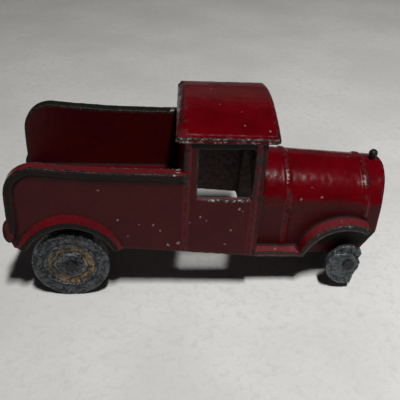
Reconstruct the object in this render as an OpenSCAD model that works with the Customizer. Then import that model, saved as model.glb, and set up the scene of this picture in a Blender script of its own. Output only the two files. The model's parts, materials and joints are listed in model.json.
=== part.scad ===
// Cast-metal toy truck with a high-sided open bed, hollow cab and hood, and wheels on wire axles.
// The body is drawn level about the rear axle line, then set down nose-low on its worn front wheels.
// X runs forward, Y to the truck's left, Z up.

/* [Lengths] */
// From the rear axle back to the rear edge of the bed sides
rear_overhang = 15.6; // [13:0.1:18]
// Length of the bed sides, rear edge to the back of the cab
bed_len = 45.8; // [40:0.1:55]
// Length of the cab at its sides
cab_len = 21.1; // [18:0.1:25.4]
// Length of the cowl, cab to cowl bead
cowl_len = 9.2; // [7.5:0.1:11.2]
// Length of the hood, cowl bead to radiator bead
hood_len = 22.5; // [19:0.1:27]
// Length of the radiator shell on the centre line
radiator_len = 5.6; // [4.6:0.1:6.2]
// From the radiator bead back to the front axle
front_axle_back = 4; // [3.4:0.1:8]

/* [Widths] */
// Width over the doors and bed sides
body_w = 35.4; // [29:0.2:43]
// Width of the hood
hood_w = 24; // [20:0.2:28.8]
// Width of each running board
board_w = 3.8; // [3:0.1:4.6]

/* [Walls] */
// Wall of the cab, cowl and hood
wall = 1.6; // [1.3:0.1:2]
// Wall of the bed sides
bed_wall = 2.4; // [2:0.1:2.9]
// Thickness of the bed floor
floor_t = 1.8; // [1.4:0.1:2.2]
// Thickness of a running board
board_t = 1.5; // [1.2:0.1:1.8]
// Thickness of a front fender
fender_t = 1.8; // [1.4:0.1:2.1]

/* [Heights above the axle line] */
// Lowest part of the top edge of the right bed side
right_bed_top_z = 30.4; // [26:0.2:36]
// Lowest part of the top edge of the left bed side
left_bed_top_z = 32.2; // [26:0.2:36]
// How much the top edges climb to the rear corners
bed_hump = 1.4; // [0:0.1:2.4]
// Bottom edge of the cab at its front
skirt_z = 3.8; // [3.6:0.1:4.6]
// Sill of the side windows
sill_z = 22.4; // [20:0.2:26]
// Height of the side windows
window_h = 15; // [12:0.2:18]
// Height of the band over the windows
header_h = 1.9; // [1.4:0.1:2.3]
// Rise of the roof's crown from its edge
roof_rise = 2.9; // [2.5:0.1:3.6]
// Height of the roof's edge, with its two drip beads
roof_edge_h = 1.5; // [1.2:0.1:1.9]
// Where the hood's flat sides end and its arch begins
hood_spring_z = 17; // [15:0.2:20]
// Rise of the hood's arch
hood_rise = 10.8; // [9:0.1:11.5]
// Fall of the hood towards the radiator, in degrees
hood_drop = 3.6; // [0:0.1:4.5]
// Bottom edge of the hood's sides
hood_foot_z = 1; // [0.6:0.1:1.5]

/* [Wheels and axles] */
// Radius of a rear wheel
rear_wheel_r = 10.7; // [9:0.1:12.9]
// Thickness of a rear wheel
rear_wheel_t = 3.2; // [2.7:0.1:3.8]
// Radius left on the left front wheel, which carries the nose
left_front_wheel_r = 9.3; // [8.7:0.1:10.5]
// Radius left on the right front wheel, which has crumbled short of the ground
right_front_wheel_r = 7.3; // [6.1:0.1:8.7]
// Thickness of a front wheel
front_wheel_t = 2.6; // [2.2:0.1:3.1]
// Radius of an axle wire
axle_r = 0.9; // [0.75:0.05:1.1]
// Radius of an axle's peened end
peen_r = 1.7; // [1.5:0.1:2]

/* [Fits] */
// Radial clearance of an axle in the body's lugs
lug_fit = 0.06; // [0.03:0.01:0.1]
// Radial clearance of a wheel on its axle
wheel_fit = 0.08; // [0.03:0.01:0.1]
// Side play at each face of a wheel
side_play = 0.3; // [0.2:0.05:0.5]
// Space between a rear wheel and its well, fore and aft
well_side_gap = 2.4; // [1.9:0.1:2.9]
// Space over a rear wheel in its well
well_top_gap = 2.9; // [2.3:0.1:3.4]

/* [Hidden] */
$fn = 64;

red = [0.55, 0.03, 0.06];
slate = [0.38, 0.41, 0.43];
steel = [0.3, 0.3, 0.3];
slack = 0.5;            // how far a cutting shape runs past what it cuts
reach = 200;            // longer than anything on the truck
fine = 96;              // facets on the larger rounds
ball_fine = 24;         // facets on the roof's rounded edges

// Places along the body
bed_rear_x = -rear_overhang;
cab_back_x = bed_rear_x + bed_len;
cab_front_x = cab_back_x + cab_len;
cowl_front_x = cab_front_x + cowl_len;
hood_front_x = cowl_front_x + hood_len;
nose_x = hood_front_x + radiator_len;
wheelbase = hood_front_x - front_axle_back;

// Places across the body
body_half = body_w / 2;
hood_half = hood_w / 2;
cab_in_y = body_half - wall;
bed_in_y = body_half - bed_wall;

// Bed sides
rim_w = 2;              // raised border along the top and rear edges
rim_out = 0.8;          // how far the border stands out
corner_r = 8;           // rear top corner
corner_turn = 10;       // degrees between points round the corner
top_steps = 10;
dip_back = 9.8;         // from the cab back to where the top edge starts to climb
bed_corner_x = bed_rear_x + corner_r;
dip_x = cab_back_x - dip_back;
skirt_slope = 4.2;      // the bottom edge climbs towards the rear, in degrees

// Rear fenders: an oval well with a flared lip round it
well_x = 0.3;
well_a = rear_wheel_r + well_side_gap;
well_b = rear_wheel_r + well_top_gap;
lip_w = [1.2, 1.45];    // lip beyond the well, at its foot and at its top
flare_w = [0.9, 2.1];   // flare beyond the lip, the same way
flare_out = 1.2;
flare_edge = 0.3;       // how far the flare stands out at its outer edge
fender_foot_z = 6.3;
tail_a = 1.5;
tail_b = 3.4;
tail_over = 0.2;        // from the rear edge of the bed side to the middle of the stub
tail_rise = 6;          // from the foot of the fender to the middle of the stub
tail_x = bed_rear_x + tail_over;
tail_z = fender_foot_z + tail_rise;
foot_rise = 2.7;        // the bed side's rear lower corner is cut off
foot_run = 1;
oval_steps = 48;

// Bed floor and the lugs under it
floor_gap = 1.2;        // space between the rear wheels and the floor
floor_low_z = rear_wheel_r + floor_gap;
lug_r = 2.8;
lug_t = 2;
lug_gap = 3;            // from the back of a rear wheel to its lug

// Cab
rear_post_w = 3.8;
front_post_w = 2.7;
window_top_z = sill_z + window_h;
header_z = window_top_z + header_h;
bead_w = 1.2;
bead_out = 0.35;
door_rear_in = 0.9;     // from the cab back to the door's rear bead
door_front_in = 2.1;    // from the cab front to the door's front bead
door_rear_x = cab_back_x + door_rear_in;
door_front_x = cab_front_x - door_front_in;
screen_side = 5;        // from the outside of the cab to the windshield opening
screen_sill = 1.8;      // over the top of the cowl
visor_out = 3.1;
roof_over = 2.3;        // from the cab back to the roof's rear edge
drip_out = 0.7;
roof_t = 2.4;
roof_rear_r = 2.1;      // rounding of the roof's rear edge
roof_front_r = 1.4;     // rounding of the visor's edge
roof_lean = 0.7;        // how far the rear edge leans in
rear_skew = 1.8;        // the roof's rear edge stands this far forward at its left end
visor_skew = 1.1;       // the visor, the same way
crown_steps = 8;

// Hood, cowl and radiator
arch_steps = 36;
nose_over = 10;         // length drawn past both ends of the nose, before it is tilted and cut
nose_bead_w = 1.3;
nose_bead_out = 0.4;
fender_gap = 0.1;       // the radiator bead stops this far over the fenders
nose_bow = 1.8;         // bulge of the radiator's front in plan
radiator_foot_z = hood_foot_z + 0.7;
radiator_toe = 9.5;     // how far its lower front corners are cut back up from there
rim_in = 1.6;           // width of the radiator's border
core_back = 1;          // how far the core lies behind the border
core_t = 1.2;
core_bars = 7;
core_bar_w = 0.7;
core_bar_out = 0.4;

// Radiator cap
cap_r = 1.3;
cap_neck_r = 0.9;
cap_pin_r = 0.7;
cap_fit = 0.02;
cap_back = 2.7;         // from the nose to the cap's centre
cap_rise = 1.9;         // from the shell to the ball's centre

// Running boards and front fenders
fender_r = 13.5;
fender_back = 1.75;     // from the front axle back to the middle of the fender's arc
fender_front_angle = 52;
fender_over = 0.1;      // how far a front fender covers its wheel
board_drop = 0.2;       // from the bottom edge of the cab to the top of the boards
board_top_z = skirt_z - board_drop;

// Wheels
wheel_edge = 0.35;
ring_in_r = 4;
ring_out_r = 6.6;
ring_deep = 0.45;
ridge_w = 0.35;
boss_r = 2.1;
front_wheel_gap = 2;
peen_t = 0.6;
rear_wheel_in = 0.3;    // from the outside of the bed to a rear wheel's face
rear_face_y = body_half - rear_wheel_in;
rear_lug_y = rear_face_y - rear_wheel_t - lug_gap;
front_face_y = hood_half + front_wheel_gap + front_wheel_t;

// The front wheels have worn off centre: the middle of what is left, from the axle
rim_turn = 6;           // degrees between points round the sound part of the rim
worn_x = 0.3;
worn_drop = 0.9;

// Broken side of each layer of a front wheel, as [angle, share of the sound radius]
right_face = [
    [284, 0.98], [302, 0.6], [342, 0.48], [385, 0.58], [411, 0.5], [437, 0.62], [464, 0.76], [490, 0.88]
];
right_back = [[280, 0.96], [304, 0.55], [345, 0.45], [388, 0.52], [404, 0.82], [418, 0.93], [434, 0.88]];
left_face = [
    [303, 0.98], [318, 0.84], [345, 0.8], [366, 0.68], [392, 0.78], [415, 0.7], [440, 0.82], [470, 0.95]
];
left_back = [[310, 0.98], [330, 0.9], [352, 0.93], [371, 0.74], [400, 0.72], [424, 0.86], [446, 0.96]];

// Stance: the worn left front wheel lets the nose down, and the right one hangs clear
rake = asin((rear_wheel_r - left_front_wheel_r) / (wheelbase + worn_x));

function skirt(x) = skirt_z + (cab_front_x - x) * tan(skirt_slope);
function nose_top(x) = hood_spring_z + hood_rise / cos(hood_drop) - (x - cab_front_x) * tan(hood_drop);
function bed_top(x, top_z) = top_z + bed_hump * pow(max(0, dip_x - x) / (dip_x - bed_corner_x), 2);
function skew(y, by) = by * (y + body_half) / body_w;
function oval(a, b, x = 0, z = 0) = [for (i = [0 : oval_steps - 1])
    [x + a * cos(360 * i / oval_steps), z + b * sin(360 * i / oval_steps)]];

// A bed side's rear edge, corner and top edge, drawn in by d
function bed_edge(top_z, d, low_z) = let (corner_z = bed_top(bed_corner_x, top_z) - corner_r) concat(
    [[bed_rear_x + d, low_z]],
    [for (a = [180 : -corner_turn : 90 + corner_turn])
        [bed_corner_x + (corner_r - d) * cos(a), corner_z + (corner_r - d) * sin(a)]],
    [for (i = [0 : top_steps]) let (x = bed_corner_x + (cab_back_x - bed_corner_x) * i / top_steps)
        [x, bed_top(x, top_z) - d]]
);

// Where the truck's middle falls once it stands on its wheels
tail_reach = sqrt(pow(tail_a * cos(rake), 2) + pow(tail_b * sin(rake), 2));
low_x = tail_x * cos(rake) + tail_z * sin(rake) - tail_reach;
high_x = nose_x * cos(rake) + nose_top(nose_x) * sin(rake);
mid_x = (low_x + high_x) / 2;

// Sets a piece drawn about the rear axle down on the ground, at its rake
module standing() {
    translate([-mid_x, 0, rear_wheel_r])
        rotate([0, rake, 0])
            children();
}

// A side view, drawn in X and Z, made solid from y0 to y1
module side(y0, y1) {
    translate([0, y1, 0])
        rotate([90, 0, 0])
            linear_extrude(y1 - y0)
                children();
}

// A front view, drawn in Y and Z, made solid from x0 to x1
module front(x0, x1) {
    translate([x0, 0, 0])
        rotate([90, 0, 90])
            linear_extrude(x1 - x0)
                children();
}

module to_right() {
    mirror([0, 1, 0])
        children();
}

module well(y0, y1) {
    side(y0, y1)
        polygon(oval(well_a, well_b, well_x));
}

// Bed

// One bed side, with its raised border and the stub where its rear fender ends
module bed_side(top_z) {
    color(red) difference() {
        union() {
            side(bed_in_y, body_half)
                polygon(concat(
                    bed_edge(top_z, 0, fender_foot_z + foot_rise),
                    [[cab_back_x, skirt(cab_back_x)],
                     [well_x + well_a + lip_w[0] + flare_w[0], fender_foot_z],
                     [bed_rear_x + foot_run, fender_foot_z]]
                ));
            side(body_half, body_half + rim_out)
                bed_rim(top_z);
            side(body_half, body_half + flare_out)
                polygon(oval(tail_a, tail_b, tail_x, tail_z));
        }
        well(bed_in_y - slack, body_half + slack);
    }
}

module bed_rim(top_z) {
    outer = bed_edge(top_z, 0, tail_z);
    inner = bed_edge(top_z, rim_w, tail_z);
    count = len(inner);
    polygon(concat(outer, [for (i = [1 : count]) inner[count - i]]));
}

module bed_floor() {
    color(red)
        translate([bed_rear_x, -bed_in_y, floor_low_z])
            cube([bed_len, 2 * bed_in_y, floor_t]);
}

module rear_fender() {
    color(red) intersection() {
        difference() {
            hull() {
                flare_band(flare_w, 0, flare_edge);
                flare_band([0, 0], 0, flare_out);
            }
            well(body_half - slack, body_half + flare_out + slack);
            side(body_half - slack, body_half + flare_out + slack)
                tail_room();
        }
        side(body_half - slack, body_half + flare_out + slack)
            translate([-reach / 2, fender_foot_z])
                square(reach);
    }
}

// What the stub and the border at the rear of the bed side take up
module tail_room() {
    polygon(oval(tail_a, tail_b, tail_x, tail_z));
    translate([bed_rear_x - reach, tail_z])
        square([reach + rim_w, reach]);
}

module flare_band(extra, y0, y1) {
    side(body_half + y0, body_half + y1)
        polygon(oval(well_a + lip_w[0] + extra[0], well_b + lip_w[1] + extra[1], well_x));
}

// A lug hung under the bed floor, bored for the rear axle
module axle_lug() {
    color(red) difference() {
        side(rear_lug_y - lug_t, rear_lug_y) {
            circle(lug_r);
            translate([-lug_r, 0])
                square([2 * lug_r, floor_low_z]);
        }
        bore(0, axle_r + lug_fit);
    }
}

// A hole right across the truck on an axle's line
module bore(x, r) {
    translate([x, reach / 2, 0])
        rotate([90, 0, 0])
            cylinder(r = r, h = reach);
}

// Cab

module cab_side(bed_z) {
    color(red) union() {
        difference() {
            side(cab_in_y, body_half)
                polygon([
                    [cab_back_x, skirt(cab_back_x)], [cab_front_x, skirt_z],
                    [cab_front_x, header_z], [cab_back_x, header_z]
                ]);
            window(cab_in_y - slack, body_half + slack);
        }
        door_bead(door_rear_x);
        door_bead(door_front_x);
        side(body_half, body_half + rim_out)
            polygon([
                [cab_back_x, bed_z - rim_w], [door_rear_x, bed_z - rim_w],
                [door_rear_x, bed_z], [cab_back_x, bed_z]
            ]);
    }
}

module window(y0, y1) {
    side(y0, y1)
        translate([cab_back_x + rear_post_w, sill_z])
            square([cab_len - rear_post_w - front_post_w, window_h]);
}

module door_bead(x) {
    translate([x - bead_w / 2, body_half, skirt(x) + slack])
        cube([bead_w, bead_out, header_z - skirt(x) - slack]);
}

module cab_back() {
    color(red)
        translate([cab_back_x, -cab_in_y, floor_low_z])
            cube([wall, 2 * cab_in_y, header_z - floor_low_z]);
}

// The cab's front wall: open at the windshield, and open below into the hollow cowl
module windshield_frame() {
    screen_low = nose_top(cab_front_x) + screen_sill;
    color(red) difference() {
        translate([cab_front_x - wall, -cab_in_y, skirt_z])
            cube([wall, 2 * cab_in_y, header_z - skirt_z]);
        translate([cab_front_x - wall - slack, -body_half + screen_side, screen_low])
            cube([wall + 2 * slack, body_w - 2 * screen_side, window_top_z - screen_low]);
        front(cab_front_x - wall - slack, cab_front_x + slack)
            arch(-wall, skirt_z - slack);
    }
}

// Crowned roof, with two drip beads along its edge and a visor over the windshield
module cab_roof() {
    roof_half = body_half + drip_out;
    crown_r = (pow(roof_half, 2) + pow(roof_rise, 2)) / (2 * roof_rise);
    crown_z = header_z + roof_edge_h + roof_rise - crown_r;
    bead_h = roof_edge_h / 3;
    color(red) difference() {
        union() {
            roof_pillow(crown_r, crown_z);
            for (z = [header_z, header_z + 2 * bead_h])
                roof_plan(roof_lean, roof_half, z, bead_h);
        }
        intersection() {
            front(cab_back_x, cab_front_x + rear_skew)
                intersection() {
                    translate([0, crown_z])
                        circle(crown_r - roof_t, $fn = fine);
                    translate([-cab_in_y, 0])
                        square([2 * cab_in_y, reach]);
                }
            roof_plan(wall + roof_over, body_half, header_z - slack, reach, wall + visor_out);
        }
    }
}

// The roof's plan made solid from z up, drawn in at its ends
module roof_plan(rear_in, half, z, h, front_in = roof_lean) {
    x0 = cab_back_x - roof_over + rear_in;
    x1 = cab_front_x + visor_out - front_in;
    translate([0, 0, z])
        linear_extrude(h)
            polygon([
                [x0 + skew(-half, rear_skew), -half], [x1 + skew(-half, visor_skew), -half],
                [x1 + skew(half, visor_skew), half], [x0 + skew(half, rear_skew), half]
            ]);
}

// The roof's body: round edges that follow the crown from side to side
module roof_pillow(crown_r, crown_z) {
    intersection() {
        hull() {
            roof_plan(0, body_half, header_z, roof_edge_h / 2, 0);
            roof_edge(cab_back_x - roof_over + roof_lean + roof_rear_r, rear_skew, roof_rear_r,
                crown_r, crown_z);
            roof_edge(cab_front_x + visor_out - roof_front_r, visor_skew, roof_front_r,
                crown_r, crown_z);
        }
        roof_plan(0, body_half, header_z, reach, 0);
    }
}

// Balls whose tops lie on the crown, from one side of the roof to the other
module roof_edge(x, by, r, crown_r, crown_z) {
    y_max = body_half - r;
    for (i = [-crown_steps : crown_steps]) let (y = y_max * i / crown_steps)
        translate([x + skew(y, by), y, crown_z + sqrt(pow(crown_r - r, 2) - pow(y, 2))])
            sphere(r, $fn = ball_fine);
}

// Nose

// Front view of the nose: flat sides and an oval top, grown by the given amount
module arch(grow, low_z) {
    a = hood_half + grow;
    b = hood_rise + grow;
    polygon(concat(
        [[a, low_z]],
        [for (i = [0 : arch_steps])
            [a * cos(180 * i / arch_steps), hood_spring_z + b * sin(180 * i / arch_steps)]],
        [[-a, low_z]]
    ));
}

// A length of the nose, falling forward by hood_drop and cut off square
module nose(x0, x1, grow, low_z) {
    intersection() {
        translate([cab_front_x, 0, hood_spring_z])
            rotate([0, hood_drop, 0])
                translate([-cab_front_x, 0, -hood_spring_z])
                    front(cab_front_x - nose_over, nose_x + nose_over)
                        arch(grow, -hood_spring_z);
        translate([x0, -reach / 2, low_z])
            cube([x1 - x0, reach, 2 * reach]);
    }
}

// A hollow length of the nose, with a bead round its front end
module nose_shell(x0, x1, low_z, bead_low_z) {
    difference() {
        union() {
            nose(x0, x1, 0, low_z);
            nose(x1 - nose_bead_w, x1, nose_bead_out, bead_low_z);
        }
        nose(x0 - slack, x1 + slack, -wall, low_z - slack);
    }
}

module cowl() {
    color(red)
        nose_shell(cab_front_x, cowl_front_x, board_top_z - board_t, board_top_z);
}

// The hood's sides run down inside the fenders and carry the front axle
module hood() {
    color(red) difference() {
        union() {
            nose_shell(cowl_front_x, hood_front_x, hood_foot_z, fender_r + fender_gap);
            for (y = [-hood_half, hood_half - wall])
                side(y, y + wall)
                    front_lug();
        }
        bore(wheelbase, axle_r + lug_fit);
    }
}

module front_lug() {
    translate([wheelbase, 0]) {
        circle(lug_r);
        translate([-lug_r, 0])
            square([2 * lug_r, lug_r]);
    }
}

module radiator_shell() {
    color(red) difference() {
        radiator_block(0);
        nose(hood_front_x - slack, nose_x + slack, -rim_in, -reach);
        cap_hole();
    }
}

// The radiator's outline, bowed forward in plan and cut back at its toes
module radiator_block(grow) {
    bow_r = (pow(hood_half, 2) + pow(nose_bow, 2)) / (2 * nose_bow);
    intersection() {
        nose(hood_front_x, nose_x, grow, radiator_foot_z);
        translate([nose_x - bow_r, 0, -reach / 2])
            cylinder(r = bow_r, h = reach, $fn = fine);
        side(-reach / 2, reach / 2)
            polygon([
                [hood_front_x, radiator_foot_z], [nose_x, radiator_foot_z + radiator_toe],
                [nose_x, reach], [hood_front_x, reach]
            ]);
    }
}

module cap_hole() {
    translate([nose_x - cap_back, 0, nose_top(nose_x - cap_back) - rim_in - slack])
        cylinder(r = cap_pin_r + cap_fit, h = reach);
}

// Core behind the radiator's border, with plain upright bars
module radiator_core() {
    x1 = nose_x - nose_bow - core_back;
    pitch = 2 * (hood_half - rim_in) / (core_bars + 1);
    color(slate) difference() {
        intersection() {
            radiator_block(-rim_in);
            union() {
                translate([x1 - core_t, -reach / 2, -reach / 2])
                    cube([core_t, reach, reach]);
                for (i = [1 : core_bars])
                    translate([x1 - core_t, -hood_half + rim_in + i * pitch - core_bar_w / 2, -reach / 2])
                        cube([core_t + core_bar_out, core_bar_w, reach]);
            }
        }
        cap_hole();
    }
}

module radiator_cap() {
    x = nose_x - cap_back;
    seat_z = nose_top(x);
    color(steel)
        translate([x, 0, 0])
            union() {
                translate([0, 0, seat_z + cap_rise])
                    sphere(cap_r);
                translate([0, 0, seat_z + nose_step()])
                    cylinder(r = cap_neck_r, h = cap_rise - nose_step());
                translate([0, 0, seat_z - rim_in])
                    cylinder(r = cap_pin_r, h = rim_in + cap_rise);
            }
}

// The shell falls forward, so the neck starts this far over its centre to clear it
function nose_step() = cap_neck_r * tan(hood_drop) + cap_fit;

// Running boards and front fenders

module running_board() {
    inner_r = fender_r - fender_t;
    x1 = wheelbase - fender_back - sqrt(pow(inner_r, 2) - pow(board_top_z, 2));
    color(red)
        translate([cab_front_x, hood_half, board_top_z - board_t])
            cube([x1 - cab_front_x, board_w, board_t]);
}

module front_fender() {
    a = fender_front_angle;
    color(red)
        side(hood_half, front_face_y + fender_over)
            translate([wheelbase - fender_back, 0])
                intersection() {
                    difference() {
                        circle(fender_r, $fn = fine);
                        circle(fender_r - fender_t, $fn = fine);
                    }
                    polygon([
                        [0, board_top_z], [reach * cos(a), reach * sin(a)],
                        [-reach, reach * sin(a)], [-reach, board_top_z]
                    ]);
                }
}

// Axles

module axle(x, face_y, bare_r) {
    end_y = face_y + side_play;
    color(steel)
        translate([x, 0, 0])
            rotate([90, 0, 0])
                union() {
                    translate([0, 0, -end_y - peen_t])
                        cylinder(r = axle_r, h = 2 * (end_y + peen_t));
                    for (z = [-end_y - peen_t, end_y])
                        translate([0, 0, z])
                            cylinder(r = bare_r, h = peen_t);
                }
}

// Wheels: turned about Y, with the outer face towards +Y

// Radius and height of a wheel's section; the boss reaches in towards the lug
module rear_wheel() {
    boss_y = rear_lug_y + side_play;
    face = rear_face_y;
    back = face - rear_wheel_t;
    bore_r = axle_r + wheel_fit;
    color(slate)
        rotate([-90, 0, 0])
            rotate_extrude($fn = fine)
                polygon([
                    [bore_r, boss_y], [boss_r, boss_y], [boss_r, back],
                    [rear_wheel_r - wheel_edge, back], [rear_wheel_r, back + wheel_edge],
                    [rear_wheel_r, face - wheel_edge], [rear_wheel_r - wheel_edge, face],
                    [ring_out_r + ridge_w, face], [ring_out_r, face - ring_deep],
                    [ring_in_r, face - ring_deep], [ring_in_r - ridge_w, face],
                    [bore_r, face]
                ]);
}

module front_wheel(r, face_edge, back_edge) {
    boss_y = hood_half + side_play;
    back = front_face_y - front_wheel_t;
    step = front_face_y - front_wheel_t / 2;
    color(slate)
        translate([wheelbase, 0, 0])
            difference() {
                union() {
                    side(step, front_face_y)
                        polygon(crumbled(r, face_edge));
                    side(back, step)
                        polygon(crumbled(r, back_edge));
                    side(boss_y, back)
                        circle(boss_r);
                }
                bore(0, axle_r + wheel_fit);
            }
}

module left_front_wheel() {
    front_wheel(left_front_wheel_r, left_face, left_back);
}

module right_front_wheel() {
    front_wheel(right_front_wheel_r, right_face, right_back);
}

// The sound rim as an arc that ends where the broken edge starts, then the broken edge
function crumbled(r, edge) = let (last = edge[len(edge) - 1][0] - 360) concat(
    [for (a = [last + rim_turn : rim_turn : edge[0][0] - rim_turn / 2]) worn_point(r, a, 1)],
    [for (p = edge) worn_point(r, p[0], p[1])]
);
function worn_point(r, a, share) = let (sound_r = r - worn_drop)
    [worn_x + sound_r * share * cos(a), -worn_drop + sound_r * share * sin(a)];

standing() bed_side(left_bed_top_z);  // left_bed_side
standing() to_right() bed_side(right_bed_top_z);  // right_bed_side
standing() bed_floor();
standing() rear_fender();  // left_rear_fender
standing() to_right() rear_fender();  // right_rear_fender
standing() axle_lug();  // left_axle_lug
standing() to_right() axle_lug();  // right_axle_lug
standing() cab_side(left_bed_top_z);  // left_cab_side
standing() to_right() cab_side(right_bed_top_z);  // right_cab_side
standing() cab_back();
standing() windshield_frame();
standing() cab_roof();
standing() cowl();
standing() hood();
standing() radiator_shell();
standing() radiator_core();
standing() radiator_cap();
standing() running_board();  // left_running_board
standing() to_right() running_board();  // right_running_board
standing() front_fender();  // left_front_fender
standing() to_right() front_fender();  // right_front_fender
standing() axle(0, rear_face_y, peen_r);  // rear_axle
standing() axle(wheelbase, front_face_y, peen_r);  // front_axle
standing() rear_wheel();  // left_rear_wheel
standing() to_right() rear_wheel();  // right_rear_wheel
standing() left_front_wheel();
standing() to_right() right_front_wheel();
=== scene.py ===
import json
import math

import bmesh
import bpy
import numpy as np
from mathutils import Matrix, Vector
from mathutils.bvhtree import BVHTree


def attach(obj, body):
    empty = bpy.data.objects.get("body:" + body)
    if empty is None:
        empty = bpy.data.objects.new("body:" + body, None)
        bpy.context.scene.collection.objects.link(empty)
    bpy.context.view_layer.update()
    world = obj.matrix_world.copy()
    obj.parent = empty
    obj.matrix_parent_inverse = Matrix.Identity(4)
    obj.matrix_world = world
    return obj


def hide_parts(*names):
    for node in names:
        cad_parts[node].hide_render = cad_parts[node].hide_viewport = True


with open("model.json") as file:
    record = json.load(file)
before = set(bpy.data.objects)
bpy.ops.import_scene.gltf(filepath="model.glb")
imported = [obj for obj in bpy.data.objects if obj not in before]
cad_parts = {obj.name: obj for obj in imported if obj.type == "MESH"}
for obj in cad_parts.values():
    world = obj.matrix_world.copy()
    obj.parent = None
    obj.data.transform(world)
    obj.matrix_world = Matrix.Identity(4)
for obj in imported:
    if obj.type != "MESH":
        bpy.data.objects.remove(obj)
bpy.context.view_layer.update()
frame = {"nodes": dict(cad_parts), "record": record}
print("frame loaded")

# The casting is worked on in millimetres and level, with the rear axle as the origin
mm = 0.001
joints = {joint["name"]: Vector(joint["pos_m"]) for joint in frame["record"]["behaviour"]["joints"]}
rearAxle = joints["rear_axle_turn"]
frontAxle = joints["front_axle_turn"]
rake = math.atan2(rearAxle.z - frontAxle.z, frontAxle.x - rearAxle.x)
toRow = Matrix.Translation(rearAxle) @ Matrix.Rotation(rake, 4, "Y") @ Matrix.Scale(mm, 4)
toLevel = toRow.inverted()
wheelbase = (toLevel @ frontAxle).x

camera = {
    "place": (21.493, -154.396, 111.462),  # level millimetres
    "yaw": 0.09743,
    "pitch": 0.57532,
    "roll": 0.063,
    "lens": 56.06,
    "sensor": 36,
    "sees": (0.005, 20),  # nearest and farthest, in metres
}


def makeCamera(how):
    yaw, pitch, roll = how["yaw"], how["pitch"], how["roll"]
    level = math.cos(pitch)
    ahead = Vector((math.sin(yaw) * level, math.cos(yaw) * level, -math.sin(pitch)))
    right = Vector((math.cos(yaw), -math.sin(yaw), 0))
    up = right.cross(ahead)
    rolledRight = right * math.cos(roll) + up * math.sin(roll)
    rolledUp = up * math.cos(roll) - right * math.sin(roll)
    data = bpy.data.cameras.new("viewCamera")
    data.lens = how["lens"]
    data.sensor_width = how["sensor"]
    data.clip_start, data.clip_end = how["sees"]
    thing = bpy.data.objects.new("viewCamera", data)
    turn = Matrix((rolledRight, rolledUp, -ahead)).transposed().to_4x4()
    standing = Matrix.Rotation(rake, 4, "Y")
    thing.matrix_world = Matrix.Translation(toRow @ Vector(how["place"])) @ standing @ turn
    bpy.context.scene.collection.objects.link(thing)
    bpy.context.scene.camera = thing


lamps = {
    "overhead": {
        "from": (0.10, -0.38, 1.0), "at": (0.17, -0.08, 0.0), "size": (0.06, 0.20),
        "spread": 74, "power": 1.82, "tint": (1.0, 0.985, 0.965),
    },
    "behind": {
        "from": (0.0, 0.80, 0.30), "at": (0, 0, 0.05), "size": (0.9, 0.25),
        "spread": 120, "power": 0.04, "tint": (0.97, 0.99, 1.0),
    },
}
roomGlow = {"tint": (0.93, 0.96, 1.0), "strength": 0.009}


def makeLamp(name, how):
    data = bpy.data.lights.new(name, "AREA")
    data.shape = "RECTANGLE"
    data.size, data.size_y = how["size"]
    data.energy = how["power"]
    data.color = how["tint"]
    data.spread = math.radians(how["spread"])
    thing = bpy.data.objects.new(name, data)
    place = Vector(how["from"])
    thing.location = place
    thing.rotation_euler = (Vector(how["at"]) - place).to_track_quat("-Z", "Y").to_euler()
    thing.visible_camera = False
    bpy.context.scene.collection.objects.link(thing)


def makeRoom(how):
    room = bpy.data.worlds.new("room")
    room.use_nodes = True
    ground = room.node_tree.nodes["Background"]
    ground.inputs["Color"].default_value = (*how["tint"], 1)
    ground.inputs["Strength"].default_value = how["strength"]
    bpy.context.scene.world = room


makeCamera(camera)
for lampName, lampHow in lamps.items():
    makeLamp(lampName, lampHow)
makeRoom(roomGlow)
bpy.context.scene.view_settings.view_transform = "Standard"
print("camera and lamps set")


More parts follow.
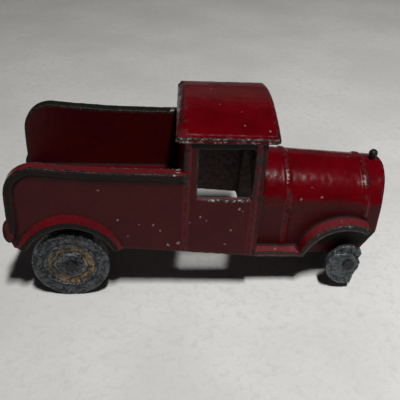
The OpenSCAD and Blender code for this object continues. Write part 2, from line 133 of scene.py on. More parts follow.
class Paint:
    # A material being put together: each call adds a node and gives back its output
    def __init__(self, name):
        self.material = bpy.data.materials.new(name)
        self.material.use_nodes = True
        self.nodes = self.material.node_tree.nodes
        self.links = self.material.node_tree.links
        self.shader = self.nodes["Principled BSDF"]
        place = self.nodes.new("ShaderNodeTexCoord")
        self.place = place.outputs["Object"]

    def put(self, socket, value):
        if isinstance(value, (int, float)):
            socket.default_value = value
        elif isinstance(value, tuple):
            socket.default_value = value if len(value) == 4 else (*value, 1)
        else:
            self.links.new(value, socket)

    def noise(self, size, detail, rough, warp=0.0):
        # size is the width of a blotch, in millimetres
        made = self.nodes.new("ShaderNodeTexNoise")
        self.links.new(self.place, made.inputs["Vector"])
        made.inputs["Scale"].default_value = 1 / (size * mm)
        made.inputs["Detail"].default_value = detail
        made.inputs["Roughness"].default_value = rough
        made.inputs["Distortion"].default_value = warp
        return made.outputs["Fac"]

    def cells(self, size):
        made = self.nodes.new("ShaderNodeTexVoronoi")
        self.links.new(self.place, made.inputs["Vector"])
        made.inputs["Scale"].default_value = 1 / (size * mm)
        return made.outputs["Distance"]

    def field(self, name):
        made = self.nodes.new("ShaderNodeAttribute")
        made.attribute_name = name
        return made.outputs["Fac"]

    def ramp(self, value, low, high, start=0.0, end=1.0):
        made = self.nodes.new("ShaderNodeMapRange")
        made.interpolation_type = "SMOOTHSTEP"
        self.put(made.inputs["Value"], value)
        made.inputs["From Min"].default_value = low
        made.inputs["From Max"].default_value = high
        made.inputs["To Min"].default_value = start
        made.inputs["To Max"].default_value = end
        return made.outputs["Result"]

    def sum(self, what, first, second):
        made = self.nodes.new("ShaderNodeMath")
        made.operation = what
        self.put(made.inputs[0], first)
        self.put(made.inputs[1], second)
        return made.outputs["Value"]

    def mix(self, share, first, second):
        made = self.nodes.new("ShaderNodeMix")
        made.data_type = "RGBA"
        self.put(made.inputs["Factor"], share)
        self.put(made.inputs["A"], first)
        self.put(made.inputs["B"], second)
        return made.outputs["Result"]

    def blend(self, share, first, second):
        made = self.nodes.new("ShaderNodeMix")
        made.data_type = "FLOAT"
        self.put(made.inputs["Factor"], share)
        self.put(made.inputs["A"], first)
        self.put(made.inputs["B"], second)
        return made.outputs["Result"]

    def bump(self, height, depth, strength=1.0, over=None):
        # depth in millimetres
        made = self.nodes.new("ShaderNodeBump")
        made.inputs["Distance"].default_value = depth * mm
        made.inputs["Strength"].default_value = strength
        self.put(made.inputs["Height"], height)
        if over is not None:
            self.links.new(over, made.inputs["Normal"])
        return made.outputs["Normal"]


def levelMesh(names, grow):
    # The named CAD nodes as one mesh in millimetres, swollen by grow so that pieces that meet
    # run together
    whole = bmesh.new()
    for name in names:
        part = bmesh.new()
        part.from_mesh(frame["nodes"][name].data)
        part.transform(toLevel)
        bmesh.ops.remove_doubles(part, verts=part.verts, dist=0.002)
        part.normal_update()
        moves = [vert.normal * grow * min(vert.calc_shell_factor(), 2) for vert in part.verts]
        for vert, move in zip(part.verts, moves):
            vert.co += move
        carrier = bpy.data.meshes.new("carrier")
        part.to_mesh(carrier)
        part.free()
        whole.from_mesh(carrier)
        bpy.data.meshes.remove(carrier)
    made = bpy.data.meshes.new("rough")
    whole.to_mesh(made)
    whole.free()
    return made


def recast(mesh, voxel):
    # One even skin over the mesh, as arrays of points and four-sided faces
    thing = bpy.data.objects.new("rough", mesh)
    bpy.context.scene.collection.objects.link(thing)
    skin = thing.modifiers.new("skin", "REMESH")
    skin.mode = "VOXEL"
    skin.voxel_size = voxel
    done = thing.evaluated_get(bpy.context.evaluated_depsgraph_get()).to_mesh()
    points = np.empty(len(done.vertices) * 3)
    done.vertices.foreach_get("co", points)
    corners = np.empty(len(done.loops), dtype=np.int32)
    done.loops.foreach_get("vertex_index", corners)
    edges = np.empty(len(done.edges) * 2, dtype=np.int32)
    done.edges.foreach_get("vertices", edges)
    bpy.data.objects.remove(thing)
    bpy.data.meshes.remove(mesh)
    return points.reshape(-1, 3), corners.reshape(-1, 4), edges.reshape(-1, 2)


def relax(points, edges, times):
    # Each point moves halfway to the middle of its neighbours, a few times over
    count = len(points)
    degree = np.bincount(edges.ravel(), minlength=count)[:, None]
    for _ in range(times):
        total = np.empty_like(points)
        for axis in range(3):
            total[:, axis] = (np.bincount(edges[:, 0], points[edges[:, 1], axis], count)
                              + np.bincount(edges[:, 1], points[edges[:, 0], axis], count))
        points = points + 0.5 * (total / degree - points)
    return points


def pointNormals(points, faces):
    first = points[faces[:, 2]] - points[faces[:, 0]]
    second = points[faces[:, 3]] - points[faces[:, 1]]
    across = np.cross(first, second)
    total = np.empty_like(points)
    for axis in range(3):
        total[:, axis] = sum(np.bincount(faces[:, corner], across[:, axis], len(points))
                             for corner in range(4))
    return total / np.maximum(np.linalg.norm(total, axis=1, keepdims=True), 1e-12)


rippleWaves = 28


def ripple(points, size, seed):
    # Soft random rise and fall, about -1 to 1, with humps of the given size
    dice = np.random.default_rng(seed)
    total = np.zeros(len(points))
    for _ in range(rippleWaves):
        way = dice.normal(size=3)
        way *= 2 * math.pi / (size * dice.uniform(0.7, 1.6)) / np.linalg.norm(way)
        total += np.sin(points @ way + dice.uniform(0, 2 * math.pi))
    return total / math.sqrt(rippleWaves)


def dress(name, points, faces, normals, fields, material, body, nodes):
    # A finished piece from arrays in level millimetres, which stands for its CAD nodes
    turn = np.array(toRow.to_3x3()) / mm
    mesh = bpy.data.meshes.new(name)
    placed = points @ np.array(toRow.to_3x3()).T + np.array(toRow.translation)
    mesh.from_pydata([], [], [])
    mesh.vertices.add(len(placed))
    mesh.vertices.foreach_set("co", placed.ravel())
    mesh.loops.add(faces.size)
    mesh.loops.foreach_set("vertex_index", faces.ravel().astype(np.int32))
    mesh.polygons.add(len(faces))
    mesh.polygons.foreach_set("loop_start", np.arange(0, faces.size, 4, dtype=np.int32))
    mesh.polygons.foreach_set("use_smooth", np.ones(len(faces), dtype=bool))
    mesh.update(calc_edges=True)
    mesh.validate()
    for field, values in fields.items():
        layer = mesh.attributes.new(field, "FLOAT", "POINT")
        layer.data.foreach_set("value", values.astype(np.float32))
    mesh.normals_split_custom_set_from_vertices((normals @ turn.T).tolist())
    mesh.materials.append(material)
    thing = bpy.data.objects.new(name, mesh)
    bpy.context.scene.collection.objects.link(thing)
    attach(thing, body)
    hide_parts(*nodes)


floorLook = {"tone": (0.78, 0.78, 0.765), "size": 6.0, "paler": 1.05, "darker": 0.92, "dusty": 0.86}


def makeFloor(how):
    bpy.ops.mesh.primitive_plane_add(size=how["size"], location=(0, 0, 0))
    floor = bpy.context.object
    floor.name = "studioFloor"
    paper = Paint("palePaper")
    grain = paper.noise(1.1, 5, 0.7)
    weave = paper.noise(2.6, 4, 0.65, warp=0.6)
    cloud = paper.noise(45, 3, 0.5)
    tone = how["tone"]
    paler = tuple(channel * how["paler"] for channel in tone)
    darker = tuple(channel * how["darker"] for channel in tone)
    dusty = tuple(channel * how["dusty"] for channel in tone)
    base = paper.mix(paper.ramp(cloud, 0.3, 0.7), darker, paler)
    base = paper.mix(paper.ramp(weave, 0.46, 0.70, 0.0, 0.65), base, dusty)
    base = paper.mix(paper.ramp(grain, 0.50, 0.70, 0.0, 0.45), base, dusty)
    paper.put(paper.shader.inputs["Base Color"], base)
    rough = paper.bump(grain, 0.08, 0.5)
    paper.put(paper.shader.inputs["Normal"], paper.bump(weave, 0.25, 0.55, over=rough))
    paper.shader.inputs["Roughness"].default_value = 0.62
    paper.shader.inputs["Specular IOR Level"].default_value = 0.25
    floor.data.materials.append(paper.material)


makeFloor(floorLook)
print("floor laid")


enamelLook = {
    "red": (0.122, 0.0003, 0.0032),
    "deepRed": (0.088, 0.0002, 0.0022),
    # darker copies of the red for the upright flanks: partly dust, partly painted shade
    "shadedDustyRed": (0.039, 0.0009, 0.0025),
    "shadedDustyBrown": (0.040, 0.0022, 0.0016),
    "rubbedPink": (0.190, 0.042, 0.050),
    "metal": (0.0125, 0.0115, 0.0105),
    "paleMetal": (0.034, 0.035, 0.034),
    # light metal for bright specks, and for painted glints on edges and chips
    "brightMetalAndGlint": (0.30, 0.24, 0.23),
    # near black, for darkening the hollows
    "hollowDark": (0.007, 0.004, 0.004),
    "unpainted": (0.125, 0.082, 0.078),
    "soot": (0.055, 0.040, 0.040),
    # near white, for the painted glints
    "paintedGlint": (0.85, 0.78, 0.75),
}


def chippedEnamel(how):
    coat = Paint("chippedEnamel")
    fine = coat.noise(0.35, 6, 0.65)
    middle = coat.noise(1.6, 5, 0.6, warp=0.4)
    broad = coat.noise(9, 3, 0.5)
    edge = coat.field("edge")
    bare = coat.field("bare")
    dusty = coat.field("dusty")
    inside = coat.field("inside")
    # colour of the sound enamel, and a darker, duller, browner copy of it on the upright flanks: partly
    # dust, partly painted shade on the sides
    red = coat.mix(coat.ramp(broad, 0.35, 0.65), how["deepRed"], how["red"])
    dullShaded = coat.mix(coat.ramp(broad, 0.40, 0.62), how["shadedDustyRed"], how["shadedDustyBrown"])
    dustAndShade = coat.sum("MULTIPLY", dusty, coat.ramp(middle, 0.2, 0.8, 0.75, 1.0))
    red = coat.mix(dustAndShade, red, dullShaded)
    flecks = coat.sum("MULTIPLY", coat.ramp(fine, 0.60, 0.72), 0.30)
    red = coat.mix(flecks, red, how["rubbedPink"])
    # rubbed thin and pinkish on what stands proud and what faces up; on the rear fenders' flares this pink
    # is a painted highlight
    thin = coat.ramp(middle, 0.44, 0.60, 0.0, 0.55)
    thin = coat.sum("MULTIPLY", coat.ramp(edge, 0.12, 0.40), thin)
    rubbed = coat.sum("MULTIPLY", coat.field("rubbed"), coat.ramp(fine, 0.38, 0.60, 0.35, 1.0))
    red = coat.mix(coat.sum("MAXIMUM", thin, rubbed), red, how["rubbedPink"])
    # darker, nearly black, in the hollows
    hollow = coat.ramp(edge, -0.14, -0.50, 0.0, 0.85)
    red = coat.mix(hollow, red, how["hollowDark"])
    # bare metal where the edges, the chips and the long worn stretches have lost their enamel
    uneven = coat.sum("MULTIPLY", coat.sum("SUBTRACT", middle, 0.5), 1.6)
    grainy = coat.sum("MULTIPLY", coat.sum("SUBTRACT", fine, 0.5), 0.7)
    worn = coat.ramp(coat.sum("ADD", coat.sum("ADD", edge, uneven), grainy), 0.40, 0.48)
    ragged = coat.sum("MULTIPLY", coat.sum("SUBTRACT", fine, 0.5), 0.7)
    chipped = coat.ramp(coat.sum("ADD", coat.field("chips"), ragged), 0.44, 0.52)
    greyed = coat.sum("ADD", bare, coat.sum("MULTIPLY", uneven, 0.9))
    greyed = coat.ramp(coat.sum("ADD", greyed, ragged), 0.40, 0.56)
    lost = coat.sum("MAXIMUM", coat.sum("MAXIMUM", worn, chipped), greyed)
    metal = coat.mix(coat.field("pale"), how["metal"], how["paleMetal"])
    grains = coat.sum("MULTIPLY", coat.ramp(fine, 0.54, 0.70), 0.14)
    metal = coat.mix(grains, metal, how["brightMetalAndGlint"])
    # lighter metal on the sharpest edges and in the chips: partly worn bright metal, partly painted glint
    glint = coat.ramp(fine, 0.52, 0.64, 0.0, 0.45)
    glint = coat.sum("MULTIPLY", coat.ramp(edge, 0.40, 0.80), glint)
    glint = coat.sum("MAXIMUM", glint, coat.sum("MULTIPLY", chipped, 0.85))
    metal = coat.mix(glint, metal, how["brightMetalAndGlint"])
    skin = coat.mix(lost, red, metal)
    # white highlights painted on the drip beads, sills, edges and nose beads: painted glints
    paintedGlint = coat.sum("MULTIPLY", coat.field("paintedGlint"), coat.ramp(middle, 0.47, 0.60))
    paintedGlint = coat.sum("MULTIPLY", paintedGlint, coat.ramp(fine, 0.40, 0.58))
    skin = coat.mix(paintedGlint, skin, how["paintedGlint"])
    raw = coat.mix(coat.ramp(middle, 0.3, 0.7), how["unpainted"], how["soot"])
    skin = coat.mix(inside, skin, raw)
    coat.put(coat.shader.inputs["Base Color"], skin)
    matt = coat.ramp(middle, 0.2, 0.8, 0.17, 0.27)
    matt = coat.blend(dusty, matt, 0.42)
    matt = coat.blend(lost, matt, coat.ramp(fine, 0.3, 0.7, 0.45, 0.70))
    matt = coat.blend(coat.sum("MAXIMUM", inside, hollow), matt, 0.85)
    coat.put(coat.shader.inputs["Roughness"], matt)
    shine = coat.sum("MULTIPLY", lost, 0.45)
    shine = coat.sum("MULTIPLY", shine, coat.sum("SUBTRACT", 1.0, inside))
    coat.put(coat.shader.inputs["Metallic"], shine)
    coat.shader.inputs["Specular IOR Level"].default_value = 0.18
    # cast skin, orange peel and the step down into a chip
    rough = coat.bump(middle, 0.12, 0.35)
    rough = coat.bump(fine, 0.07, 0.50, over=rough)
    rough = coat.bump(coat.sum("SUBTRACT", 1.0, lost), 0.10, 0.7, over=rough)
    coat.put(coat.shader.inputs["Normal"], rough)
    return coat.material


# The casting is one continuous skin, parted again along the pieces
casting = {
    "pieces": [
        "left_bed_side", "right_bed_side", "bed_floor", "left_rear_fender",
        "right_rear_fender", "left_axle_lug", "right_axle_lug", "left_cab_side",
        "right_cab_side", "cab_back", "windshield_frame", "cab_roof",
        "cowl", "hood", "radiator_shell", "left_running_board",
        "right_running_board", "left_front_fender", "right_front_fender",
    ],
    "voxel": 0.24,
    "grow": 0.07,
    "edgeRounding": 4,
    "waviness": 0.032,
    "dulling": 24,      # how far round a point its edge is judged
    "edgeGain": 0.9,
    "chipWobble": 0.18,
    "quickVoxel": 0.45,
}

fenderMiddle = wheelbase - 1.75  # middle of a front fender's arch

# Chips in the enamel, as level x, y, z and radius in millimetres
chipSpots = [
    (8.4, -17.7, 25.1, 0.32), (13.1, -17.7, 15.8, 0.29), (15.9, -17.7, 10.5, 0.35),
    (18.9, -17.7, 14.5, 0.29), (22.6, -17.7, 14.2, 0.32), (24.5, -17.7, 12.3, 0.43),
    (26.8, -17.7, 7.5, 0.32), (29.5, -17.7, 8.2, 0.41), (32.5, -17.7, 15.3, 0.29),
    (35.1, -17.7, 17.0, 0.35), (37.1, -17.7, 15.7, 0.29), (43.8, -17.7, 12.7, 0.32),
    (45.4, -17.7, 19.7, 0.41), (46.6, -17.7, 19.0, 0.29), (42.6, -17.7, 8.0, 0.35),
    (38.1, 7.1, 43.7, 0.41), (39.8, -4.2, 44.0, 0.29), (45.0, -7.5, 43.7, 0.41),
    (49.8, -4.8, 44.0, 0.35), (49.2, -9.6, 43.4, 0.29), (45.4, -13.7, 42.5, 0.35),
    (51.6, -15.4, 42.0, 0.41), (68.1, 0.4, 26.4, 0.35), (78.8, 0.1, 25.8, 0.35),
    (63.6, -11.6, 19.1, 0.35), (69.5, -11.2, 19.6, 0.29), (66.9, -10.0, 21.8, 0.29),
    (75.6, -14.2, 13.2, 0.41), (77.2, -16.7, 13.3, 0.41), (57.7, -14.2, 3.6, 0.46),
]


# Hollows of the casting in level millimetres: x from and to, half width, and heights
hollows = {
    "cab": {"x": (31.2, 50.4), "half": 16.7, "eaves": 39.7, "crown": 2.4, "crownHalf": 16.1},
    "nose": {
        "x": (49.0, 83.6), "half": 11.2, "spring": 17, "rise": 10.0, "start": 51.3, "slope": 3.6,
    },
    "bed": {"end": 31.2, "half": 16.2, "top": 12.8},
    "fender": {"half": 12.2, "radius": 12.3, "foot": -3},
    "well": {"half": 14, "middle": 0.3, "size": (13.25, 13.75)},
    "board": {"x": (51, 67), "half": 12.3, "top": 2.8},
}


def between(values, ends):
    return (values > ends[0]) & (values < ends[1])


def withinCasting(points):
    # 1 on the unpainted inside and underside, 0 on the painted outside
    x, y, z = points.T
    side = np.abs(y)
    how = hollows["cab"]
    roofInside = how["eaves"] + how["crown"] * (1 - (y / how["crownHalf"]) ** 2)
    cab = between(x, how["x"]) & (side < how["half"]) & (z < roofInside)
    how = hollows["nose"]
    fall = (x - how["start"]) * math.tan(math.radians(how["slope"]))
    lift = np.maximum(z - how["spring"] + fall, 0)
    nose = between(x, how["x"]) & ((y / how["half"]) ** 2 + (lift / how["rise"]) ** 2 < 1)
    how = hollows["bed"]
    bed = (x < how["end"]) & (side < how["half"]) & (z < how["top"])
    how = hollows["fender"]
    fender = (side > how["half"]) & (z > how["foot"])
    fender = fender & (np.hypot(x - fenderMiddle, z) < how["radius"])
    how = hollows["well"]
    wide, high = how["size"]
    well = (side > how["half"]) & (((x - how["middle"]) / wide) ** 2 + (z / high) ** 2 < 1)
    how = hollows["board"]
    board = between(x, how["x"]) & (side > how["half"]) & (z < how["top"])
    return (cab | nose | bed | fender | well | board).astype(float)


def chipField(points, spots):
    total = np.zeros(len(points))
    for x, y, z, size in spots:
        away = np.linalg.norm(points - (x, y, z), axis=1) / size
        total = np.maximum(total, np.clip(1 - away / 2, 0, 1))
    return total


def smoothBand(values, low, high):
    share = np.clip((values - low) / (high - low), 0, 1)
    return share * share * (3 - 2 * share)


# Seams on the right side of the cowl and hood: first and last x, and height
seams = [(53.6, 57.8, 17.4), (60.6, 64.9, 13.4)]


bedEdge = {"left": 32.2, "right": 30.4, "dipAt": 20.4, "dipRun": 28, "rise": 1.4}


def bedTop(x, y):
    low = np.where(y < 0, bedEdge["right"], bedEdge["left"])
    run = np.clip(bedEdge["dipAt"] - x, 0, bedEdge["dipRun"]) / bedEdge["dipRun"]
    return low + bedEdge["rise"] * run ** 2


# How bare of enamel each worn stretch is, from 0 to 1
bareness = {
    "border": 0.80, "innerEdge": 0.50, "leftTop": 0.80, "header": 0.75, "roofRear": 0.38,
    "visor": 0.52, "postHigh": 0.44, "postLow": 0.36, "doorBeads": 0.34, "frontLips": 0.72, "rearLips": 0.80,
    "arch": 0.80, "tail": 0.75,
}
doorBeads = (31.1, 49.2)
bedRear = -15.6
bedCorner = 8  # radius of the bed's upper rear corners
roofSkew = {"rear": (27.9, 1.8), "visor": (53.6, 1.1), "half": 17.7}
wellMouth = {"middle": 0.3, "wide": 14.3, "high": 15.05}


def skewedEdge(name, y):
    start, skew = roofSkew[name]
    return start + skew * (y + roofSkew["half"]) / (2 * roofSkew["half"])


def bareField(points):
    # Long stretches where the enamel has worn off, and how much of it is gone there
    x, y, z = points.T
    side = np.abs(y)
    total = np.zeros(len(points))

    def wear(where, amount):
        return np.where(where, np.maximum(total, amount), total)

    top = bedTop(x, y)
    # the bed's raised border: its upright face, along the top and down the rear edge
    within = np.where(x < -8, np.minimum(top - z, x - bedRear), top - z)
    cornerFrom = bedCorner - np.hypot(x - (bedRear + bedCorner), z - (top - bedCorner))
    within = np.where((x < -8) & (z > 24), cornerFrom, within)
    band = smoothBand(within, 0.15, 0.8) * smoothBand(-within, -2.3, -1.9)
    total = wear((side > 17.9) & (x < 30.8) & (z > 12), bareness["border"] * band)
    # inner edges of the bed's walls, and the left wall's whole top edge
    inner = between(side, (14.9, 15.9)) & (x < 30) & (np.abs(top - z) < 0.35)
    total = wear(inner, bareness["innerEdge"])
    total = wear((y > 14.9) & (x < 30.5) & (z > 12) & (within < 0.55), bareness["leftTop"])
    # band over the side windows, and the roof's rear edge and visor
    total = wear(between(z, (37.6, 39.5)) & between(side, (17.0, 18.0)), bareness["header"])
    total = wear((z > 39.2) & (x < skewedEdge("rear", y) + 1.9), bareness["roofRear"])
    total = wear((z > 38.9) & (x > skewedEdge("visor", y)), bareness["visor"])
    # the cab's front corner posts and the beads beside the doors
    post = between(x, (49.0, 51.7)) & (side > 15.6) & between(z, (4, 39))
    total = wear(post, np.where(z > 22, bareness["postHigh"], bareness["postLow"]))
    for bead in doorBeads:
        total = wear((np.abs(x - bead) < 0.65) & (side > 17.72), bareness["doorBeads"])
    # the upright faces of all four fenders' lips
    total = wear((side > 16.35) & (x > 64) & (z > 2.5), bareness["frontLips"])
    oval = np.hypot((x - wellMouth["middle"]) / wellMouth["wide"], z / wellMouth["high"])
    total = wear((side > 18.55) & (oval < 1.02) & (x < 20), bareness["rearLips"])
    # the nose's flank under the front fenders' arches
    arch = between(side, (11.8, 13.2)) & (np.hypot(x - fenderMiddle, z) < 12.2) & (x > 62)
    total = wear(arch, bareness["arch"] * smoothBand(z, 1.5, 6.5))
    # the small tails at the bed's rear
    return wear((x < -15.75) & (z < 13), bareness["tail"])


def paleField(points):
    # Bare metal that has stayed lighter: the front fenders' lips and the beads beside the doors
    x, y, z = points.T
    side = np.abs(y)
    lip = (side > 15.8) & (x > 60)
    beads = between(x, (30, 50.5)) & (side > 17.6) & (z < 37)
    return 0.35 * lip + 0.45 * beads


# How strongly the enamel is rubbed thin on each surface, and how strong the painted highlight on the rear
# fenders' flares is
rubbing = {"board": 0.85, "frontFender": 0.60, "sill": 0.9, "border": 0.30, "rearFenderHighlight": 0.22}
sillHeight = 22.4


def rubbedField(points, normals):
    # Enamel rubbed thin on what faces up: the running boards, the front fenders, the sills and the right
    # border of the bed; on the rear fenders' flares the same pink is a painted highlight
    x, y, z = points.T
    side = np.abs(y)
    up = smoothBand(normals[:, 2], 0.35, 0.8)
    board = between(x, (51.3, 67)) & (side > 12.2) & between(z, (2.8, 5))
    fender = (side > 12.2) & (np.hypot(x - fenderMiddle, z) > 12.6) & (x > 62)
    sill = (side > 15.5) & (np.abs(z - sillHeight) < 0.5) & between(x, (33, 49))
    border = (x < 31) & (y < -15) & (z > 25)
    rear = (side > 17.72) & (x < 20) & (z < 18)
    amount = rubbing["board"] * board + rubbing["frontFender"] * fender
    amount = amount + rubbing["sill"] * sill + rubbing["border"] * border
    # the rear fenders' flares: pinker on their upward faces, a painted highlight
    return amount * up + rubbing["rearFenderHighlight"] * rear * smoothBand(normals[:, 2], 0.15, 0.45)


dripBeads = (39.75, 40.55)
noseBeads = (59.8, 81.8)
# Strength of the painted glints, and the half width of a glinting line in millimetres
paintedGlints = {
    "drip": 0.5, "lipEdge": 0.22, "sill": 0.55, "rimEnd": 0.8, "dripWidth": 0.22, "noseWidth": 0.3,
}


def paintedGlintField(points):
    # Painted glints, white highlights painted where the worn metal catches the light: the drip beads,
    # the bed's right inner edge, the sills and the nose beads
    x, y, z = points.T
    side = np.abs(y)
    drip = np.zeros(len(points))
    for height in dripBeads:
        drip = np.maximum(drip, np.exp(-((z - height) / paintedGlints["dripWidth"]) ** 2))
    drip = paintedGlints["drip"] * drip * ((side > 17.6) & between(x, (28, 54)))
    top = bedTop(x, y)
    lipEdge = between(y, (-15.8, -14.9)) & (np.abs(top - z) < 0.3) & (x < 30.5)
    sill = (side > 17.2) & (np.abs(z - 22.3) < 0.35) & between(x, (34, 48.6))
    noseBead = np.zeros(len(points))
    for bead in noseBeads:
        noseBead = np.maximum(noseBead, np.exp(-((x - bead) / paintedGlints["noseWidth"]) ** 2))
    noseBead = noseBead * (between(z, (22.5, 27)) & (y < -7))
    rimEnd = between(x, (27.5, 30.6)) & (side > 15.5) & (np.abs(top - z) < 0.5)
    total = drip + paintedGlints["lipEdge"] * lipEdge + paintedGlints["sill"] * sill + noseBead
    return np.clip(total + paintedGlints["rimEnd"] * rimEnd, 0, 1)


# Depth or height, in millimetres, half width, and for the groove its height on the cab
groove = {"depth": 0.26, "half": 0.22, "height": 40.15}
seam = {"rise": 0.16, "half": 0.20}


def castMarks(points):
    # Small casting marks, as a rise in millimetres: the groove between the drip beads and two
    # seams on the nose
    x, y, z = points.T
    line = np.exp(-((z - groove["height"]) / groove["half"]) ** 2)
    rise = -groove["depth"] * line * ((np.abs(y) > 17.4) & between(x, (27, 56)))
    for x0, x1, height in seams:
        along = smoothBand(x, x0 - 0.4, x0) * smoothBand(-x, -x1 - 0.4, -x1)
        line = np.exp(-((z - height) / seam["half"]) ** 2)
        rise = rise + seam["rise"] * line * along * (y < -10)
    return rise


def castTruck(how, material):
    names = how["pieces"]
    voxel = how["voxel"]
    points, faces, edges = recast(levelMesh(names, how["grow"]), voxel)
    print("casting skin", len(points), "points")
    points = relax(points, edges, how["edgeRounding"])
    normals = pointNormals(points, faces)
    wave = how["waviness"] * (ripple(points, 7, 3) + 0.5 * ripple(points, 2.2, 4))
    points = points + normals * (wave + castMarks(points))[:, None]
    normals = pointNormals(points, faces)
    dulled = relax(points, edges, how["dulling"])
    edge = ((points - dulled) * normals).sum(axis=1) / (how["edgeGain"] * voxel)
    edge = relax(np.repeat(edge[:, None], 3, axis=1), edges, 2)[:, 0]
    x, y, z = points.T
    inside = withinCasting(points)
    inside = relax(np.repeat(inside[:, None], 3, axis=1), edges, 2)[:, 0]
    # upright flanks get the darker enamel, partly dust and partly painted shade; little of it on the rear
    # fenders' flares
    shadedFlank = smoothBand(np.abs(normals[:, 1]), 0.93, 0.99)
    shadedFlank = shadedFlank * np.where((np.abs(y) > 17.85) & (x < 20) & (z < 18), 0.15, 1)
    wobble = np.stack([ripple(points, 0.9, seed) for seed in (5, 6, 7)], axis=1)
    fields = {
        "edge": np.clip(edge, -1, 1),
        "chips": chipField(points + how["chipWobble"] * wobble, chipSpots),
        "bare": bareField(points),
        "inside": inside,
        "dusty": np.clip(shadedFlank, 0, 1),
        "pale": paleField(points),
        "paintedGlint": paintedGlintField(points),
        "rubbed": rubbedField(points, normals),
    }
    # each face goes to the CAD piece that it lies nearest
    verts, tris, owner = [], [], []
    for index, name in enumerate(names):
        source = frame["nodes"][name].data
        start = len(verts)
        verts.extend(toLevel @ vert.co for vert in source.vertices)
        for poly in source.polygons:
            corners = list(poly.vertices)
            for step in range(1, len(corners) - 1):
                tris.append((start + corners[0], start + corners[step], start + corners[step + 1]))
                owner.append(index)
    tree = BVHTree.FromPolygons(verts, tris)
    centres = points[faces].mean(axis=1)
    nearest = np.array([owner[tree.find_nearest(centre)[2]] for centre in centres.tolist()])
    for index, name in enumerate(names):
        mine = faces[nearest == index]
        used, local = np.unique(mine, return_inverse=True)
        local = local.reshape(-1, 4)
        ownFields = {field: values[used] for field, values in fields.items()}
        dress(name + "_cast", points[used], local, normals[used], ownFields,
              material, "body", [name])
    print("casting parted into", len(names), "pieces")


enamel = chippedEnamel(enamelLook)
castTruck(casting, enamel)


zincLooks = {
    "rear": {
        "dark": (0.011, 0.013, 0.016), "grey": (0.072, 0.080, 0.088), "pale": (0.27, 0.28, 0.29),
        "gold": (0.36, 0.22, 0.065), "pit": (0.003, 0.003, 0.004), "blotch": 1.5,
    },
    "front": {
        "dark": (0.038, 0.046, 0.052), "grey": (0.092, 0.108, 0.118), "pale": (0.26, 0.27, 0.27),
        "gold": (0.16, 0.12, 0.06), "pit": (0.008, 0.009, 0.010), "blotch": 1.5,
    },
}


def pittedZinc(name, how):
    metal = Paint(name)
    fine = metal.noise(0.3, 7, 0.7)
    middle = metal.noise(0.9, 6, 0.65, warp=0.6)
    blotch = metal.noise(how["blotch"], 5, 0.62, warp=0.8)
    edge = metal.field("edge")
    gold = metal.field("gold")
    ridge = metal.field("ridge")
    tone = metal.mix(metal.ramp(blotch, 0.44, 0.56), how["dark"], how["grey"])
    tone = metal.mix(metal.sum("MULTIPLY", metal.ramp(middle, 0.52, 0.70), 0.45), tone, how["pale"])
    patches = metal.ramp(metal.noise(1.7, 5, 0.65, warp=0.5), 0.44, 0.56)
    goldShare = metal.sum("MULTIPLY", gold, patches)
    goldShare = metal.sum("MULTIPLY", goldShare, metal.ramp(fine, 0.34, 0.52, 0.25, 1.0))
    tone = metal.mix(goldShare, tone, how["gold"])
    # proud edges and rings lighter: partly rubbed metal, partly painted highlight
    rubbedAndGlint = metal.sum("MAXIMUM", metal.ramp(edge, 0.2, 0.7), ridge)
    rubbedAndGlint = metal.sum("MULTIPLY", rubbedAndGlint, metal.ramp(middle, 0.44, 0.60, 0.0, 0.8))
    tone = metal.mix(rubbedAndGlint, tone, how["pale"])
    pits = metal.sum("ADD", metal.cells(0.8), metal.sum("MULTIPLY", fine, 0.35))
    pits = metal.ramp(pits, 0.42, 0.28)
    pits = metal.sum("MULTIPLY", pits, metal.ramp(blotch, 0.56, 0.44))
    # darker in the hollows, and painted shade along a line beside each ring where the mesh has no groove
    hollowDarkAndGrooveShade = metal.sum("MAXIMUM", metal.ramp(edge, -0.12, -0.5), metal.field("groove"))
    tone = metal.mix(metal.sum("MAXIMUM", pits, hollowDarkAndGrooveShade), tone, how["pit"])
    metal.put(metal.shader.inputs["Base Color"], tone)
    metal.put(metal.shader.inputs["Roughness"], metal.ramp(middle, 0.3, 0.7, 0.34, 0.62))
    metal.shader.inputs["Metallic"].default_value = 0.5
    rough = metal.bump(blotch, 0.30, 0.5)
    rough = metal.bump(middle, 0.22, 0.7, over=rough)
    rough = metal.bump(fine, 0.10, 0.7, over=rough)
    rough = metal.bump(metal.sum("SUBTRACT", 1.0, pits), 0.15, 0.8, over=rough)
    metal.put(metal.shader.inputs["Normal"], rough)
    return metal.material


wheels = {
    "left_rear_wheel": {"seed": 11, "lumps": 0.10, "axle": 0.0, "look": "rear"},
    "right_rear_wheel": {"seed": 12, "lumps": 0.10, "axle": 0.0, "look": "rear"},
    "left_front_wheel": {"seed": 13, "lumps": 0.16, "axle": 1.0, "look": "front"},
    "right_front_wheel": {"seed": 14, "lumps": 0.16, "axle": 1.0, "look": "front"},
}
wheelVoxel = {"fine": 0.15, "quick": 0.28, "rounding": 2, "dulling": 20, "edgeGain": 1.2}
# Rings on a rear wheel's face: radius, half width and height in millimetres
rings = [(4.1, 0.30, 0.16), (5.3, 0.16, 0.06), (6.7, 0.32, 0.16), (8.9, 0.2, 0.05)]
tallestRing = 0.16


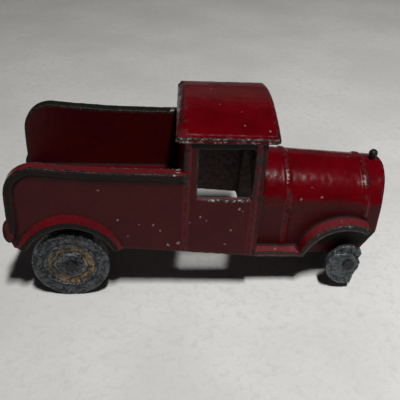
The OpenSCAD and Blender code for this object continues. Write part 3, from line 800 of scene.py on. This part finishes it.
def castWheel(name, how, material):
    voxel = wheelVoxel["fine"]
    points, faces, edges = recast(levelMesh([name], 0.0), voxel)
    points = relax(points, edges, wheelVoxel["rounding"])
    normals = pointNormals(points, faces)
    x, z = points[:, 0] - how["axle"] * wheelbase, points[:, 2]
    radius = np.hypot(x, z)
    away = smoothBand(radius, 1.6, 2.6)
    lumps = ripple(points, 2.6, how["seed"]) * 0.6 + ripple(points, 1.0, how["seed"] + 20) * 0.4
    moves = np.minimum(how["lumps"] * lumps, 0.05) * away
    ridge = np.zeros(len(points))
    groove = np.zeros(len(points))
    if how["look"] == "rear":
        uneven = 0.25 * ripple(points, 5, how["seed"] + 40)
        facing = smoothBand(np.abs(normals[:, 1]), 0.6, 0.9)
        for middle, half, height in rings:
            stand = np.exp(-((radius + uneven - middle) / half) ** 2) * facing
            moves = moves + 0.4 * height * stand
            # the rings are marked for the lighter colour, partly rubbed metal and partly painted highlight
            ridge = np.maximum(ridge, stand * height / tallestRing)
            # a dark line beside each ring: painted shade for a groove that the mesh doesn't have
            dip = np.exp(-((radius + uneven - middle - 2.1 * half) / half) ** 2) * facing
            groove = np.maximum(groove, 0.75 * dip * height / tallestRing)
    points = points + normals * moves[:, None]
    normals = pointNormals(points, faces)
    dulled = relax(points, edges, wheelVoxel["dulling"])
    edge = ((points - dulled) * normals).sum(axis=1) / (wheelVoxel["edgeGain"] * voxel)
    # gilding left in the ring, most of it ahead of the hub and below it
    turned = np.arctan2(z, x)
    kept = 0.45 + 0.55 * smoothBand(np.cos(turned + 0.6), -0.5, 0.7)
    gold = smoothBand(radius, 3.7, 4.3) * smoothBand(-radius, -6.9, -6.2) * kept
    fields = {"edge": np.clip(edge, -1, 1), "ridge": ridge, "groove": groove,
              "gold": gold if how["look"] == "rear" else gold * 0}
    dress(name + "_cast", points, faces, normals, fields, material, name, [name])


zinc = {kind: pittedZinc(kind + "Zinc", look) for kind, look in zincLooks.items()}
for wheelName, wheelHow in wheels.items():
    castWheel(wheelName, wheelHow, zinc[wheelHow["look"]])
print("wheels cast")


small = {
    "radiator_core": {
        "body": "body", "slot": "cast_zinc", "voxel": 0.2, "rounding": 1, "lumps": 0.02,
    },
    "radiator_cap": {
        "body": "body", "slot": "dull_steel", "voxel": 0.12, "rounding": 3, "lumps": 0.05,
    },
    "rear_axle": {
        "body": "rear_axle", "slot": "dull_steel", "voxel": 0.13, "rounding": 4, "lumps": 0.04,
    },
    "front_axle": {
        "body": "front_axle", "slot": "dull_steel", "voxel": 0.13, "rounding": 4, "lumps": 0.04,
    },
}
steelLook = {
    "dark": (0.008, 0.008, 0.009), "grey": (0.036, 0.035, 0.038), "pale": (0.30, 0.29, 0.27),
}


def dullSteel(how):
    metal = Paint("dullSteel")
    fine = metal.noise(0.25, 6, 0.7)
    middle = metal.noise(0.9, 5, 0.6)
    edge = metal.field("edge")
    tone = metal.mix(metal.ramp(middle, 0.35, 0.65), how["dark"], how["grey"])
    rubbed = metal.sum("MULTIPLY", metal.ramp(edge, 0.3, 0.9), metal.ramp(fine, 0.48, 0.62))
    tone = metal.mix(rubbed, tone, how["pale"])
    metal.put(metal.shader.inputs["Base Color"], tone)
    metal.put(metal.shader.inputs["Roughness"], metal.ramp(middle, 0.3, 0.7, 0.34, 0.6))
    metal.shader.inputs["Metallic"].default_value = 0.6
    rough = metal.bump(middle, 0.15, 0.5)
    metal.put(metal.shader.inputs["Normal"], metal.bump(fine, 0.08, 0.6, over=rough))
    return metal.material


def castSmall(name, how, material, seed):
    points, faces, edges = recast(levelMesh([name], 0.0), how["voxel"])
    points = relax(points, edges, how["rounding"])
    normals = pointNormals(points, faces)
    lumps = how["lumps"] * np.minimum(ripple(points, 1.2, seed), 0.3)
    points = points + normals * lumps[:, None]
    normals = pointNormals(points, faces)
    dulled = relax(points, edges, 14)
    edge = ((points - dulled) * normals).sum(axis=1) / (1.2 * how["voxel"])
    fields = {"edge": np.clip(edge, -1, 1)}
    dress(name + "_cast", points, faces, normals, fields,
          material, how["body"], [name])


steel = dullSteel(steelLook)
firstSmallSeed = 40
for order, (smallName, smallHow) in enumerate(small.items()):
    finish = zinc["front"] if smallHow["slot"] == "cast_zinc" else steel
    castSmall(smallName, smallHow, finish, firstSmallSeed + order)
print("axles, core and cap made")

bpy.context.view_layer.update()
